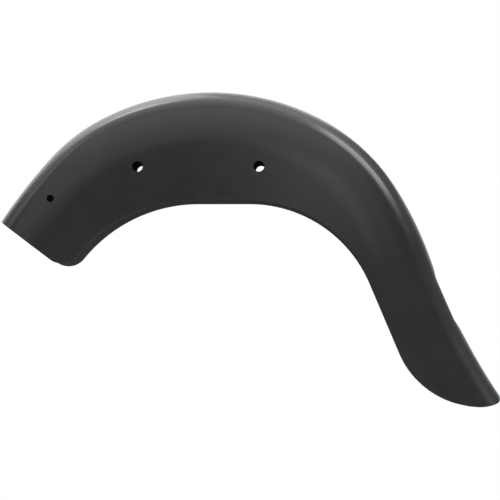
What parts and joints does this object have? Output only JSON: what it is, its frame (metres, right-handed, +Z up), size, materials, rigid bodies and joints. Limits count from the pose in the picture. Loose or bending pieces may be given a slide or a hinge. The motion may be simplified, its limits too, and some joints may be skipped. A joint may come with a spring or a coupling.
{
  "type": "motorcycle rear fender",
  "caption": "Long sheet-steel rear fender with gently bulged skirts, rounded shoulders, a flared tail, a flat lamp seat and drilled strut holes.",
  "frame": {"origin": "on the axis of the front strut holes, halfway between the skirts", "axes": "+X to the tail, +Y across the fender, +Z up as mounted"},
  "size_m": [0.8729, 0.2, 0.5519],
  "materials": {
    "coat": "satin charcoal-black primer coat on pressed steel"
  },
  "bodies": {
    "root": {"fender_shell": "coat"}
  },
  "joints": []
}
